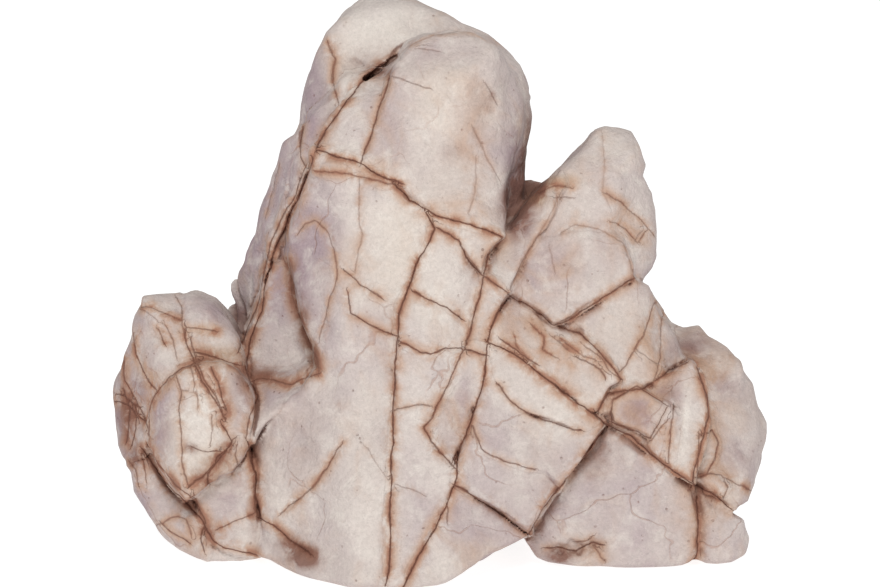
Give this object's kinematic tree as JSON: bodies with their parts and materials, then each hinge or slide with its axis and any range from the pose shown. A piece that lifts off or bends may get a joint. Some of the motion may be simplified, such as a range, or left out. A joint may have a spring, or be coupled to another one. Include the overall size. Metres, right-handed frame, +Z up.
{
  "type": "sandstone",
  "caption": "Jointed block of pale sandstone with a tall rounded summit, a lower side tower and bulging lobes, cracked into plates and resting on a flat foot.",
  "frame": {"origin": "middle of the footprint's box, on the flat foot that the stone rests on", "axes": "+X to the right of the broad cracked face, -Y out of that face, +Z up"},
  "size_m": [0.3318, 0.1987, 0.2758],
  "materials": {
    "sandstone": "matte"
  },
  "bodies": {
    "root": {"sandstone": "sandstone"}
  },
  "joints": []
}
